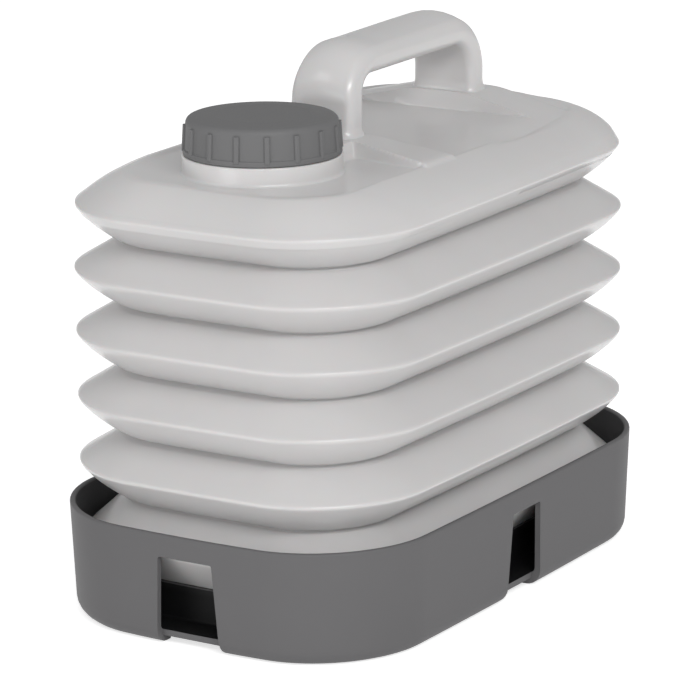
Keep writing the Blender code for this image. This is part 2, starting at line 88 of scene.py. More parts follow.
def roundedPath(corners, steps=6):
    # Corners are (a, b, radius); each one is replaced by an arc of that radius
    path = []
    last = len(corners) - 1
    for i, (a, b, radius) in enumerate(corners):
        if not radius or i in (0, last):
            path.append((a, b))
            continue
        here = Vector((a, b))
        back = (Vector(corners[i - 1][:2]) - here).normalized()
        ahead = (Vector(corners[i + 1][:2]) - here).normalized()
        half = back.angle(ahead) / 2
        centre = here + (back + ahead).normalized() * (radius / math.sin(half))
        start = here + back * (radius / math.tan(half)) - centre
        end = here + ahead * (radius / math.tan(half)) - centre
        sweep = math.atan2(start.x * end.y - start.y * end.x, start.dot(end))
        first = math.atan2(start.y, start.x)
        for step in range(steps + 1):
            angle = first + sweep * step / steps
            path.append((centre.x + radius * math.cos(angle), centre.y + radius * math.sin(angle)))
    return path


def roundedRectangle(halfX, halfY, radius, steps):
    # Points round it, from the middle of its +X side; steps is (corner, end, side)
    cornerSteps, endSteps, sideSteps = steps
    points = []
    for quarter in range(4):
        signX = (1, -1, -1, 1)[quarter]
        signY = (1, 1, -1, -1)[quarter]
        for step in range(cornerSteps + 1):
            angle = math.pi / 2 * (quarter + step / cornerSteps)
            points.append((signX * (halfX - radius) + radius * math.cos(angle),
                           signY * (halfY - radius) + radius * math.sin(angle)))
        alongSide = quarter in (0, 2)
        count = sideSteps if alongSide else endSteps
        lastX, lastY = points[-1]
        for step in range(1, count):
            place = 1 - 2 * (step / count)
            points.append((lastX * place, lastY) if alongSide else (lastX, lastY * place))
    return points


def outlinePoints(size, inset, steps):
    # Points round the outline, pulled in by inset
    halfLength = size["length"] / 2 - inset
    halfWidth = size["width"] / 2 - inset
    radius = max(size["corner"] - inset, min(leastCorner, 0.9 * halfWidth))
    bowed = []
    for x, y in roundedRectangle(halfLength, halfWidth, radius, steps):
        endReach = smoothStep((abs(x) - (halfLength - radius)) / radius * 3)
        x += math.copysign(size["endBow"] * (1 - (y / halfWidth) ** 2) * endReach, x)
        sideReach = smoothStep((abs(y) - (halfWidth - radius)) / radius * 3)
        y += math.copysign(size["sideBow"] * max(0.0, 1 - (x / halfLength) ** 2) * sideReach, y)
        bowed.append((x, y))
    return bowed


def insetAt(size, x, y):
    # How far a place lies inside the outline
    halfLength, halfWidth, radius = size["length"] / 2, size["width"] / 2, size["corner"]
    overX, overY = abs(x) - (halfLength - radius), abs(y) - (halfWidth - radius)
    if overX > 0 and overY > 0:
        return radius - math.hypot(overX, overY)
    return min(halfLength - abs(x), halfWidth - abs(y))


def circlePoints(radius, z, count):
    # A ring round the neck's axis
    turns = [2 * math.pi * i / count for i in range(count)]
    return [(neckX + radius * math.cos(a), radius * math.sin(a), z) for a in turns]


def joinRings(rings, closed=False, ends=None):
    # Quads between rings of equal count; ends says how the two ends are filled
    points = [point for ring in rings for point in ring]
    count = len(rings[0])
    faces = []
    rows = len(rings)
    for row in range(rows if closed else rows - 1):
        low, high = row * count, (row + 1) % rows * count
        for i in range(count):
            j = (i + 1) % count
            faces.append((low + i, low + j, high + j, high + i))
    if ends == "flat":
        faces += [tuple(range(count)), tuple(range((rows - 1) * count, rows * count))]
    elif ends:
        # Strips from the upper half of the outline straight across to the lower half
        cornerSteps, endSteps, sideSteps = ends
        half = 2 * cornerSteps + sideSteps
        for base in (0, (rows - 1) * count):
            mirror = base + 2 * half + endSteps
            for step in range(half):
                faces.append((base + step, base + step + 1, mirror - step - 1, mirror - step))
            faces.append(tuple(base + i for i in range(half, half + endSteps + 1)))
            faces.append(tuple(base + i % count for i in range(2 * half + endSteps, count + 1)))
    return points, faces


def makePiece(name, points, faces, finish):
    # Points are in millimetres
    data = bpy.data.meshes.new(name)
    data.from_pydata([(x * mm, y * mm, z * mm) for x, y, z in points], [], faces)
    work = bmesh.new()
    work.from_mesh(data)
    bmesh.ops.recalc_face_normals(work, faces=work.faces)
    work.to_mesh(data)
    work.free()
    data.shade_smooth()
    data.materials.append(finish)
    piece = bpy.data.objects.new(name, data)
    bpy.context.scene.collection.objects.link(piece)
    return piece


def bakeMesh(piece):
    # The evaluated shape becomes the piece's own mesh
    scene = bpy.context.evaluated_depsgraph_get()
    data = bpy.data.meshes.new_from_object(piece.evaluated_get(scene))
    piece.modifiers.clear()
    old = piece.data
    piece.data = data
    bpy.data.meshes.remove(old)
    data.name = piece.name


def cutPiece(piece, cutters):
    for cutter in cutters:
        step = piece.modifiers.new(cutter.name, "BOOLEAN")
        step.operation = "DIFFERENCE"
        step.solver = "EXACT"
        step.object = cutter
    bakeMesh(piece)
    for cutter in cutters:
        bpy.data.objects.remove(cutter)


class Wire:
    # A node's output, which can stand in sums with numbers and other outputs
    def __init__(self, board, socket):
        self.board = board
        self.socket = socket

    def __add__(self, other):
        return self.board.maths("ADD", self, other)

    def __sub__(self, other):
        return self.board.maths("SUBTRACT", self, other)

    def __rsub__(self, other):
        return self.board.maths("SUBTRACT", other, self)

    def __mul__(self, other):
        return self.board.maths("MULTIPLY", self, other)

    def __truediv__(self, other):
        return self.board.maths("DIVIDE", self, other)

    def __rtruediv__(self, other):
        return self.board.maths("DIVIDE", other, self)

    __radd__ = __add__
    __rmul__ = __mul__


class Board:
    # A node tree that is filled in from Python
    def __init__(self, tree):
        self.tree = tree

    def node(self, kind, settings=None, values=None, output=0):
        # Output "all" gives every output by name
        made = self.tree.nodes.new(kind)
        for name, value in (settings or {}).items():
            setattr(made, name, value)
        for name, value in (values or {}).items():
            if isinstance(value, Wire):
                self.tree.links.new(value.socket, made.inputs[name])
            else:
                made.inputs[name].default_value = value
        if output == "all":
            return {socket.name: Wire(self, socket) for socket in made.outputs}
        return Wire(self, made.outputs[output]) if made.outputs else made

    def maths(self, operation, *values, clampIt=False):
        settings = {"operation": operation, "use_clamp": clampIt}
        return self.node("ShaderNodeMath", settings, dict(enumerate(values)))

    def noise(self, place, scale, detail, roughness=0.5):
        return self.node("ShaderNodeTexNoise", None,
                         {"Vector": place, "Scale": scale, "Detail": detail, "Roughness": roughness})

    def blend(self, share, first, second):
        # Between two colours, each a triple or a link
        ends = {6: first, 7: second}
        values = {slot: end if isinstance(end, Wire) else (*end, 1) for slot, end in ends.items()}
        return self.node("ShaderNodeMix", {"data_type": "RGBA"}, {"Factor": share, **values}, output=2)

    def bump(self, height, strength, distance, under=None):
        values = {"Strength": strength, "Distance": distance, "Height": height}
        if under:
            values["Normal"] = under
        return self.node("ShaderNodeBump", None, values)


def newMaterial(name):
    made = bpy.data.materials.new(name)
    made.use_nodes = True
    made.node_tree.nodes.clear()
    return made, Board(made.node_tree)


def closeMaterial(board, surface):
    board.node("ShaderNodeOutputMaterial", None, {"Surface": surface})


# Blow-moulded tank: pale warm grey polyethylene, half gloss, with a faint flow in its colour and a soft skin
tankFinish = {
    "pale": (0.625, 0.615, 0.614), "deep": (0.575, 0.565, 0.564), "roughness": 0.31, "subsurface": 0.08,
    "coat": 0.35, "coatRoughness": 0.14,
}


def makeTankPlastic():
    finish = tankFinish
    made, board = newMaterial("tankPlastic")
    place = board.node("ShaderNodeTexCoord", output="Object")
    cloud = board.noise(place, 9.0, 3.0)
    skin = board.noise(place, 700.0, 2.0)
    ripple = board.noise(place, 38.0, 1.0)
    share = board.maths("MULTIPLY_ADD", cloud - 0.5, 2.2, 0.5, clampIt=True)
    colour = board.blend(share, finish["deep"], finish["pale"])
    rough = finish["roughness"] + (cloud - 0.5) * 0.1 + (skin - 0.5) * 0.05
    waves = board.bump(ripple, 0.25, 0.0006)
    grain = board.bump(skin, 0.04, 0.00008, waves)
    surface = board.node("ShaderNodeBsdfPrincipled", None, {
        "Base Color": colour, "Roughness": rough, "Normal": grain, "IOR": 1.5,
        "Subsurface Weight": finish["subsurface"], "Subsurface Scale": 0.004,
        "Coat Weight": finish["coat"], "Coat Roughness": finish["coatRoughness"]})
    closeMaterial(board, surface)
    return made


# Injection-moulded dark grey plastic with a fine satin grain. The tray's inner faces get a darker copy of it
# as painted shade, which darkens further towards the floor as painted shade, from the first height in "climb"
# down to the deep colour
greyFinish = {
    "tray": {"colour": (0.127, 0.125, 0.128), "light": (0.140, 0.138, 0.141), "roughness": 0.52,
             "grain": 0.22, "specular": 0.15},
    # Painted shade: a darker copy of the tray plastic for the tray's inner faces, with "deep" as painted
    # shade at the floor
    "inside": {"colour": (0.060, 0.060, 0.062), "light": (0.070, 0.070, 0.072), "roughness": 0.6,
               "grain": 0.22, "specular": 0.3, "deep": (0.005, 0.005, 0.0055), "climb": (36.0, 20.0)},
    "cap": {"colour": (0.140, 0.140, 0.142), "light": (0.152, 0.152, 0.154), "roughness": 0.55,
            "grain": 0.14, "specular": 0.3},
}


def makeGreyPlastic(name):
    finish = greyFinish[name]
    made, board = newMaterial(name + "Plastic")
    place = board.node("ShaderNodeTexCoord", output="Object")
    cloud = board.noise(place, 14.0, 4.0, 0.55)
    speck = board.noise(place, 1500.0, 2.0)
    colour = board.blend(cloud, finish["colour"], finish["light"])
    # Painted shade: the colour darkens to the deep colour towards the tray's floor
    if "deep" in finish:
        height = board.node("ShaderNodeSeparateXYZ", None, {0: place}, output="all")["Z"]
        top, bottom = finish["climb"]
        rise = board.node("ShaderNodeMapRange", {"interpolation_type": "SMOOTHSTEP"},
                          {"Value": height, "From Min": bottom * mm, "From Max": top * mm})
        colour = board.blend(rise, finish["deep"], colour)
    rough = finish["roughness"] + (speck - 0.5) * 0.16 + (cloud - 0.5) * 0.08
    surface = board.node("ShaderNodeBsdfPrincipled", None, {
        "Base Color": colour, "Roughness": rough, "Normal": board.bump(speck, finish["grain"], 0.0001),
        "IOR": 1.46, "Specular IOR Level": finish["specular"]})
    closeMaterial(board, surface)
    return made


# Soft off-white rubber of the seal
sealFinish = {"deep": (0.60, 0.60, 0.58), "pale": (0.70, 0.70, 0.68), "roughness": 0.6}


def makeSealRubber():
    finish = sealFinish
    made, board = newMaterial("sealRubber")
    place = board.node("ShaderNodeTexCoord", output="Object")
    speck = board.noise(place, 400.0, 3.0)
    surface = board.node("ShaderNodeBsdfPrincipled", None, {
        "Base Color": board.blend(speck, finish["deep"], finish["pale"]),
        "Roughness": speck * 0.1 + finish["roughness"], "Normal": board.bump(speck, 0.2, 0.0001)})
    closeMaterial(board, surface)
    return made


tankPlastic = makeTankPlastic()
trayPlastic = makeGreyPlastic("tray")
paintedShadeInsidePlastic = makeGreyPlastic("inside")
capPlastic = makeGreyPlastic("cap")
sealRubber = makeSealRubber()
print("materials made")

# Domed top of the tank, with a pocket round the neck, a finger recess and two raised ribs under the handle.
# Its band runs from the edge in to the crease. "nearRidge" is the ridge's X range in the middle, then at its
# ends. "nearTop" and "farTop" are a height and its fall across the width, the far one also its fall along it
shellSizes = {
    "inset": 0.4, "tipInset": 0.05, "tipRadius": 1.3, "lip": (3.7, -4.25), "bandStart": 4.0, "creaseAt": 30.0,
    "innerStart": 37.0, "middleGap": 0.4, "creaseSlope": 0.42, "creaseWall": 1.0,
    "crease": {"side": 16.4, "neck": 13.6, "far": 20.5},
    "bulge": {"side": (7.0, 11.0), "neck": (11.0, 6.2), "far": (6.0, 14.0)},
    "endsFrom": 75.0, "neckFade": 60.0, "farFade": 65.0, "neckLead": 9.5, "lean": (0.011, -0.6),
    "leadFrom": 0.16, "deck": 231.0, "deckSlope": 0.03, "deckFrom": -20.0, "deckEdge": 6.0,
    "wallSteepness": 3.2, "farSteepness": 1.9, "flatHalf": 17.0, "topBlend": (5.0, 55.0),
    "nearTop": (239.8, 0.106), "farTop": (244.2, 0.225, 0.06), "farLevel": 100.0, "farWall": 84.5,
    "nearRidge": (-35.0, -16.5, -44.5, -18.0), "ridgeFoot": 19.0, "ridgeEnd": 65.0, "ridgeSpread": 2.0,
    "nearRaise": 2.0, "nearRibAt": 26.5, "ribRaise": 1.3, "ribStart": 60.0, "ribEnd": 113.0, "farRibAt": 26.0,
    "saddleHalf": 21.0, "saddleReach": 8.0, "saddleSteepness": 0.9, "wall": 1.8,
    "underInsets": (1.2, 4, 8, 13, 18, 23, 28), "boreRadius": 30.5, "boreSpan": (222.0, 250.0),
    "steps": (26, 40, 280),
}
# How far the rounding of each edge of the top reaches
shellSoft = {"slope": 5.0, "band": 1.6, "rim": 1.6, "ridgeTop": 1.0, "ridgeFoot": 2.4, "farWall": 1.8,
             "saddleTop": 1.6, "saddleFoot": 2.0, "crease": 1.2, "blend": 5.5, "nearRib": 2.5,
             "nearRibFoot": 3.0, "farRib": 6.0, "farRibEnd": 2.6, "farRibFoot": 2.5}


def domeRise(d, crease, bulge):
    # Height over the fold's tip at d in from the edge: a bowed band up to the crease, then a slope
    creaseAt = shellSizes["creaseAt"]
    if d > creaseAt:
        return crease + (d - creaseAt) * shellSizes["creaseSlope"]
    bulgeAt, bulgeRise = bulge
    a, b, c = creaseAt - 2 * bulgeAt, 2 * bulgeAt, -d
    share = (-b + math.sqrt(max(0.0, b * b - 4 * a * c))) / (2 * a)
    return 2 * share * (1 - share) * bulgeRise + share * share * crease


def bandShape(x):
    # The band is lower at the neck end and higher at the far end
    size = shellSizes
    neckShare = smoothStep((-x - size["endsFrom"]) / size["neckFade"])
    farShare = smoothStep((x - size["endsFrom"]) / size["farFade"])

    def along(side, neck, far):
        return side + (neck - side) * neckShare + (far - side) * farShare

    crease, bulge = size["crease"], size["bulge"]
    bend = tuple(along(*ends) for ends in zip(bulge["side"], bulge["neck"], bulge["far"]))
    return along(crease["side"], crease["neck"], crease["far"]), bend


def topHeight(x, y, d):
    # Height of the deck at a place that lies d in from the edge
    size, soft = shellSizes, shellSoft
    steep, creaseAt = size["wallSteepness"], size["creaseAt"]
    across = abs(y)
    share = clamp((across - size["ridgeFoot"]) / (size["ridgeEnd"] - size["ridgeFoot"]))
    nearLow, nearHigh, endLow, endHigh = size["nearRidge"]
    low, high = mix(nearLow, endLow, share), mix(nearHigh, endHigh, share)
    slope = smoothMax(0.0, across - size["flatHalf"], soft["slope"])
    nearHeight, nearFall = size["nearTop"]
    farHeight, farFall, farDip = size["farTop"]
    nearTop = nearHeight - nearFall * slope
    farTop = farHeight - farFall * slope - farDip * max(0.0, size["farLevel"] - x)
    crease, bulge = bandShape(x)
    band = tipHeight + domeRise(d, crease, bulge)
    # Two raised ribs: one is the near ridge's top, the other lies beyond the recess
    spread, raised, side = size["ridgeSpread"], size["ribRaise"], soft["nearRib"]
    onNear = smoothStep((x - low + spread) / side) * smoothStep((high + spread - x) / side)
    onNear *= smoothStep((d - size["nearRibAt"]) / soft["nearRibFoot"])
    beforeEnd = smoothStep((size["ribEnd"] + soft["farRibEnd"] / 2 - x) / soft["farRibEnd"])
    onFar = smoothStep((x - size["ribStart"]) / soft["farRib"]) * beforeEnd
    farRib = raised * onFar * smoothStep((d - size["farRibAt"]) / soft["farRibFoot"])
    band += size["nearRaise"] * onNear + farRib
    if d < creaseAt - size["deckEdge"]:
        return band
    farTop -= raised * (1 - beforeEnd)
    blendStart, blendLength = size["topBlend"]
    dome = smoothMin(mix(nearTop, farTop, smoothStep((x - blendStart) / blendLength)), band, soft["band"])
    rim = tipHeight + crease + (creaseAt - d) * size["creaseWall"]
    floor = size["deck"] + size["deckSlope"] * max(0.0, x - size["deckFrom"])
    pocket = smoothMax(floor, rim, soft["rim"])
    ridge = smoothMin(nearTop + (x - low) * steep, nearTop + (high - x) * steep, soft["ridgeTop"])
    pocket = smoothMax(pocket, ridge, soft["ridgeFoot"])
    farRise = (x - size["farWall"]) * steep * size["farSteepness"]
    pocket = smoothMax(pocket, farTop + farRise, soft["farWall"])
    if neckX < x < low + size["saddleReach"]:
        # The near ridge reaches out to the neck in the middle
        saddleRise = (size["saddleHalf"] - across) * steep * size["saddleSteepness"]
        saddle = smoothMin(nearTop, nearTop + saddleRise, soft["saddleTop"])
        pocket = smoothMax(pocket, saddle, soft["saddleFoot"])
    onDeck = smoothStep((d - creaseAt + size["deckEdge"]) / soft["blend"])
    return mix(band, smoothMin(dome, pocket, soft["crease"]), onDeck)


def leadShare(x):
    # Grows from 0 to 1 towards the neck end, between one and two times this share of the length
    start = shellSizes["leadFrom"]
    return smoothStep((-x / foldOutline["length"] - start) / start)


def deckHeight(x, y):
    # Works out first how far in from the top's edge the place is
    size = foldOutline
    plainX = x + shellSizes["neckLead"] * leadShare(x)
    bowX = size["endBow"] * (1 - (2 * y / size["width"]) ** 2)
    bowY = size["sideBow"] * (1 - (2 * x / size["length"]) ** 2)
    inset = insetAt(size, max(0.0, abs(plainX) - bowX), max(0.0, abs(y) - bowY)) - shellSizes["inset"]
    return topHeight(x, y, inset)


def shellRing(d, height=None):
    # A ring that lies d in from the edge, at the deck's own height or at the one given
    size = shellSizes
    lead = size["neckLead"] * clamp(d / size["creaseAt"])
    start = size["innerStart"]
    leanRise, leanDrop = size["lean"]
    ring = []
    for x, y in outlinePoints(foldOutline, min(d, start) + size["inset"], size["steps"]):
        x -= lead * leadShare(x)
        if d <= start:
            # The uppermost fold hangs a little lower at the neck end
            z = topHeight(x, y, d) if height is None else height
            ring.append((x, y, z + (leanRise * x + leanDrop) * (1 - smoothStep(d / size["creaseAt"]))))
            continue
        # Further in, the rings close up across the width only
        y *= 1 - (d - start) / (foldOutline["width"] / 2 - size["inset"] - start)
        ring.append((x, y, deckHeight(x, y) if height is None else height))
    return ring


def evenly(first, last, count):
    return [first + (last - first) * i / count for i in range(1, count + 1)]


def makeTopShell():
    size = shellSizes
    creaseAt, start, joint = size["creaseAt"], size["innerStart"], size["bandStart"]
    middle = foldOutline["width"] / 2 - size["inset"] - size["middleGap"]
    insets = [joint] + evenly(joint, creaseAt, 24) + evenly(creaseAt, start, 12) + evenly(start, middle, 60)
    top = [shellRing(d) for d in insets]
    # The rounded tip, from the lip below it up to where the band goes on
    corner = [(*size["lip"], 0), (size["tipInset"], 0.0, size["tipRadius"]),
              (joint, domeRise(joint, *bandShape(0.0)), 0)]
    outer = [shellRing(a, tipHeight + b) for a, b in roundedPath(corner, 8)[:-1]]
    wall = size["wall"]
    lipInset, lipDrop = size["lip"]
    under = [(lipInset + 2.2, lipDrop)]
    under += [(d + 1.7 * wall, domeRise(d, size["crease"]["neck"], size["bulge"]["neck"]) - wall * 0.6)
              for d in size["underInsets"]]
    under += [(a, size["deck"] - tipHeight - wall) for a in (36.0, 45.0, middle)]
    inner = [shellRing(a, min(tipHeight + b, size["deck"] - wall)) for a, b in under]
    rings = top[::-1] + outer[::-1] + inner
    piece = makePiece("topShell", *joinRings(rings, ends=size["steps"]), tankPlastic)
    bore = joinRings([circlePoints(size["boreRadius"], z, 96) for z in size["boreSpan"]], ends="flat")
    cutPiece(piece, [makePiece("boreCutter", *bore, tankPlastic)])
    piece.data.set_sharp_from_angle(angle=math.radians(50))
    return piece


# Carrying handle: a swept bar whose feet flare out into the ribs
handleSizes = {
    "near": -33.7, "far": 103.3, "top": 281.2, "leg": 14.6, "bar": 11.8, "halfWidth": 18.7, "edge": 4.6,
    "bendRise": 26.0, "nearBend": 30.5, "farBend": 30.0, "innerBend": 9.5, "farInner": 15.0,
    "crown": 5.8, "legCrown": 1.2, "tilt": 0.012, "tiltFrom": -10.0,
    "flare": 4.5, "innerFlare": 2.0, "sideFlare": 2.4, "flareRise": 1.2, "sink": 0.6,
    "steps": (8, 6, 6), "bendSteps": 20, "barSteps": 12, "footSteps": 16,
}


def handleStations():
    # Pairs of an outer and an inner point (x, z), from the near leg over the bar to the far leg
    size = handleSizes
    near, far, top, leg = size["near"], size["far"], size["top"], size["leg"]
    under, rise = top - size["bar"], size["bendRise"]
    nearBend, farBend = size["nearBend"], size["farBend"]
    tight, farTight = size["innerBend"], size["farInner"]
    pairs = []
    count = size["bendSteps"]
    for step in range(count + 1):
        angle = math.pi - math.pi / 2 * step / count
        reach, climb = 1 + math.cos(angle), math.sin(angle)
        pairs.append(((near + nearBend * reach, top - rise + rise * climb),
                      (near + leg + tight * reach, under - tight + tight * climb)))
    for step in range(1, size["barSteps"]):
        share = step / size["barSteps"]
        pairs.append(((mix(near + nearBend, far - farBend, share), top),
                      (mix(near + leg + tight, far - leg - farTight, share), under)))
    for step in range(count + 1):
        angle = math.pi / 2 - math.pi / 2 * step / count
        reach, climb = 1 - math.cos(angle), math.sin(angle)
        pairs.append(((far - farBend * reach, top - rise + rise * climb),
                      (far - leg - farTight * reach, under - farTight + farTight * climb)))
    return pairs


def footRings(centreX, sign):
    # Rings down a leg, which flare and follow the deck's height
    size = handleSizes
    halfLeg, halfWidth, edge, flare = size["leg"] / 2, size["halfWidth"], size["edge"], size["flare"]
    rings = []
    for step in range(size["footSteps"] + 1):
        down = step / size["footSteps"]
        angle = math.pi / 2 * down
        reach = 1 - math.cos(angle)
        ring = []
        for u, v in roundedRectangle(halfLeg, halfWidth, edge, size["steps"]):
            crown = size["legCrown"] * (1 - (v / halfWidth) ** 2) * smoothStep(2 * u / size["leg"])
            if abs(v) < halfWidth - edge:
                outward = Vector((math.copysign(1, sign * u), 0))
            elif abs(u) < halfLeg - edge:
                outward = Vector((0, math.copysign(1, v)))
            else:
                outward = Vector((sign * u * 2.2, v)).normalized()
            x = centreX + sign * (u + crown) + outward.x * reach * (flare if u > 0 else size["innerFlare"])
            y = v + outward.y * reach * size["sideFlare"]
            deckZ = deckHeight(x, y) - size["sink"] * down
            ring.append((x, y, deckZ + flare * (1 - math.sin(angle)) * size["flareRise"]))
        rings.append(ring)
    return rings


def makeHandle():
    size = handleSizes
    halfLeg, halfWidth = size["leg"] / 2, size["halfWidth"]
    rings = footRings(size["near"] + halfLeg, -1)[::-1]
    for outer, inner in handleStations():
        thick = math.dist(outer, inner)
        acrossX, acrossZ = (outer[0] - inner[0]) / thick, (outer[1] - inner[1]) / thick
        midX, midZ = (outer[0] + inner[0]) / 2, (outer[1] + inner[1]) / 2
        crown = mix(size["legCrown"], size["crown"], acrossZ)
        lift = size["tilt"] * (midX - size["tiltFrom"]) * smoothStep(acrossZ)
        edge = min(size["edge"], thick / 2 - 0.3)
        ring = []
        for u, v in roundedRectangle(thick / 2, halfWidth, edge, size["steps"]):
            u += crown * (1 - (v / halfWidth) ** 2) * smoothStep(2 * u / thick)
            ring.append((midX + u * acrossX, v, midZ + u * acrossZ + lift))
        rings.append(ring)
    rings += footRings(size["far"] - halfLeg, 1)
    return makePiece("handle", *joinRings(rings, ends="flat"), tankPlastic)


# Threaded neck with its collar. The cap's thread has the same lead, section and turns
neckSizes = {
    "bore": 30.5, "core": 34.0, "collar": 40.5, "foot": 230.6, "collarTop": 240.6, "top": 255.0, "flare": 2.2,
    "lead": 5.0, "depth": 1.5, "base": 2.2, "crest": 0.8, "turns": 1.5, "threadStart": 243.6,
}


def threadShare(angle, z, start):
    # How far the right-hand thread stands up here, from 0 to 1
    size = neckSizes
    turn = angle / (2 * math.pi)
    best = 0.0
    for whole in range(-1, math.ceil(size["turns"]) + 1):
        wound = turn + whole
        if 0 <= wound <= size["turns"]:
            offset = abs(z - start - wound * size["lead"])
            rise = smoothStep((size["base"] / 2 - offset) / ((size["base"] - size["crest"]) / 2))
            best = max(best, rise * min(1.0, 12 * wound, 12 * (size["turns"] - wound)))
    return best


def threadRings(radius, depth, low, high, start, count, rows):
    rings = []
    for row in range(rows + 1):
        z = mix(low, high, row / rows)
        ring = []
        for i in range(count):
            angle = 2 * math.pi * i / count
            here = radius + depth * threadShare(angle, z, start)
            ring.append((neckX + here * math.cos(angle), here * math.sin(angle), z))
        rings.append(ring)
    return rings


def makeNeck():
    size = neckSizes
    count = 128
    bore, core, top = size["bore"], size["core"], size["top"]
    collar, collarTop, flare, foot = size["collar"], size["collarTop"], size["flare"], size["foot"]
    outside = roundedPath([(collar + flare + 0.4, foot, 0), (collar, foot + 0.4, flare),
                           (collar, collarTop, 0.9), (core, collarTop + 0.05, 0)], 6)
    rings = [circlePoints(radius, z, count) for radius, z in outside]
    rings += threadRings(core, size["depth"], collarTop + 0.3, top - 1.0, size["threadStart"], count, 52)
    mouth = roundedPath([(core, top - 1.0, 0), (core, top, 0.7), (bore, top, 0.7), (bore, top - 3, 0)], 4)
    rings += [circlePoints(radius, z, count) for radius, z in mouth[1:]]
    rings += [circlePoints(bore, foot - 0.5, count), circlePoints(bore + 3, foot - 0.5, count)]
    return makePiece("neck", *joinRings(rings, closed=True), tankPlastic)


topShell = makeTopShell()
handle = makeHandle()
neck = makeNeck()
print("top of the tank made")


def startTree(name, values):
    # A tree with one named input for each value
    kinds = {float: "NodeSocketFloat", int: "NodeSocketInt"}
    tree = bpy.data.node_groups.new(name, "GeometryNodeTree")
    for label, value in values.items():
        kind = kinds.get(type(value), "NodeSocketMaterial")
        tree.interface.new_socket(label, in_out="INPUT", socket_type=kind).default_value = value
    tree.interface.new_socket("Geometry", in_out="OUTPUT", socket_type="NodeSocketGeometry")
    board = Board(tree)
    return board, board.node("NodeGroupInput", output="all")


def applyTree(name, tree, values):
    # A new piece made by the tree, baked to a plain mesh
    data = bpy.data.meshes.new(name)
    data.materials.append(values["Finish"])
    piece = bpy.data.objects.new(name, data)
    bpy.context.scene.collection.objects.link(piece)
    step = piece.modifiers.new(name, "NODES")
    step.node_group = tree
    for item in tree.interface.items_tree:
        if item.in_out == "INPUT":
            step[item.identifier] = values[item.name]
    bpy.context.view_layer.update()
    bakeMesh(piece)
    return piece


# Bellows: one swept zigzag, from the bottom fold's tip to the seam under the top shell. The crease is the
# narrow hinge line along each valley: its width as a share of a face, and its depth
bellowsSizes = {
    "pitch": 33.8, "depth": 24.0, "firstTip": 81.3, "low": 44.0, "seam": 212.3, "lowInset": 4.0,
    "topInset": 1.7, "tipPush": 0.75, "valleyPlace": 0.43, "tipRound": 0.07, "valleyRound": 0.015,
    "bulge": 2.5, "crease": (0.08, 3.2), "leanFrom": 150.0, "profileSteps": 230, "ringSteps": 420,
}


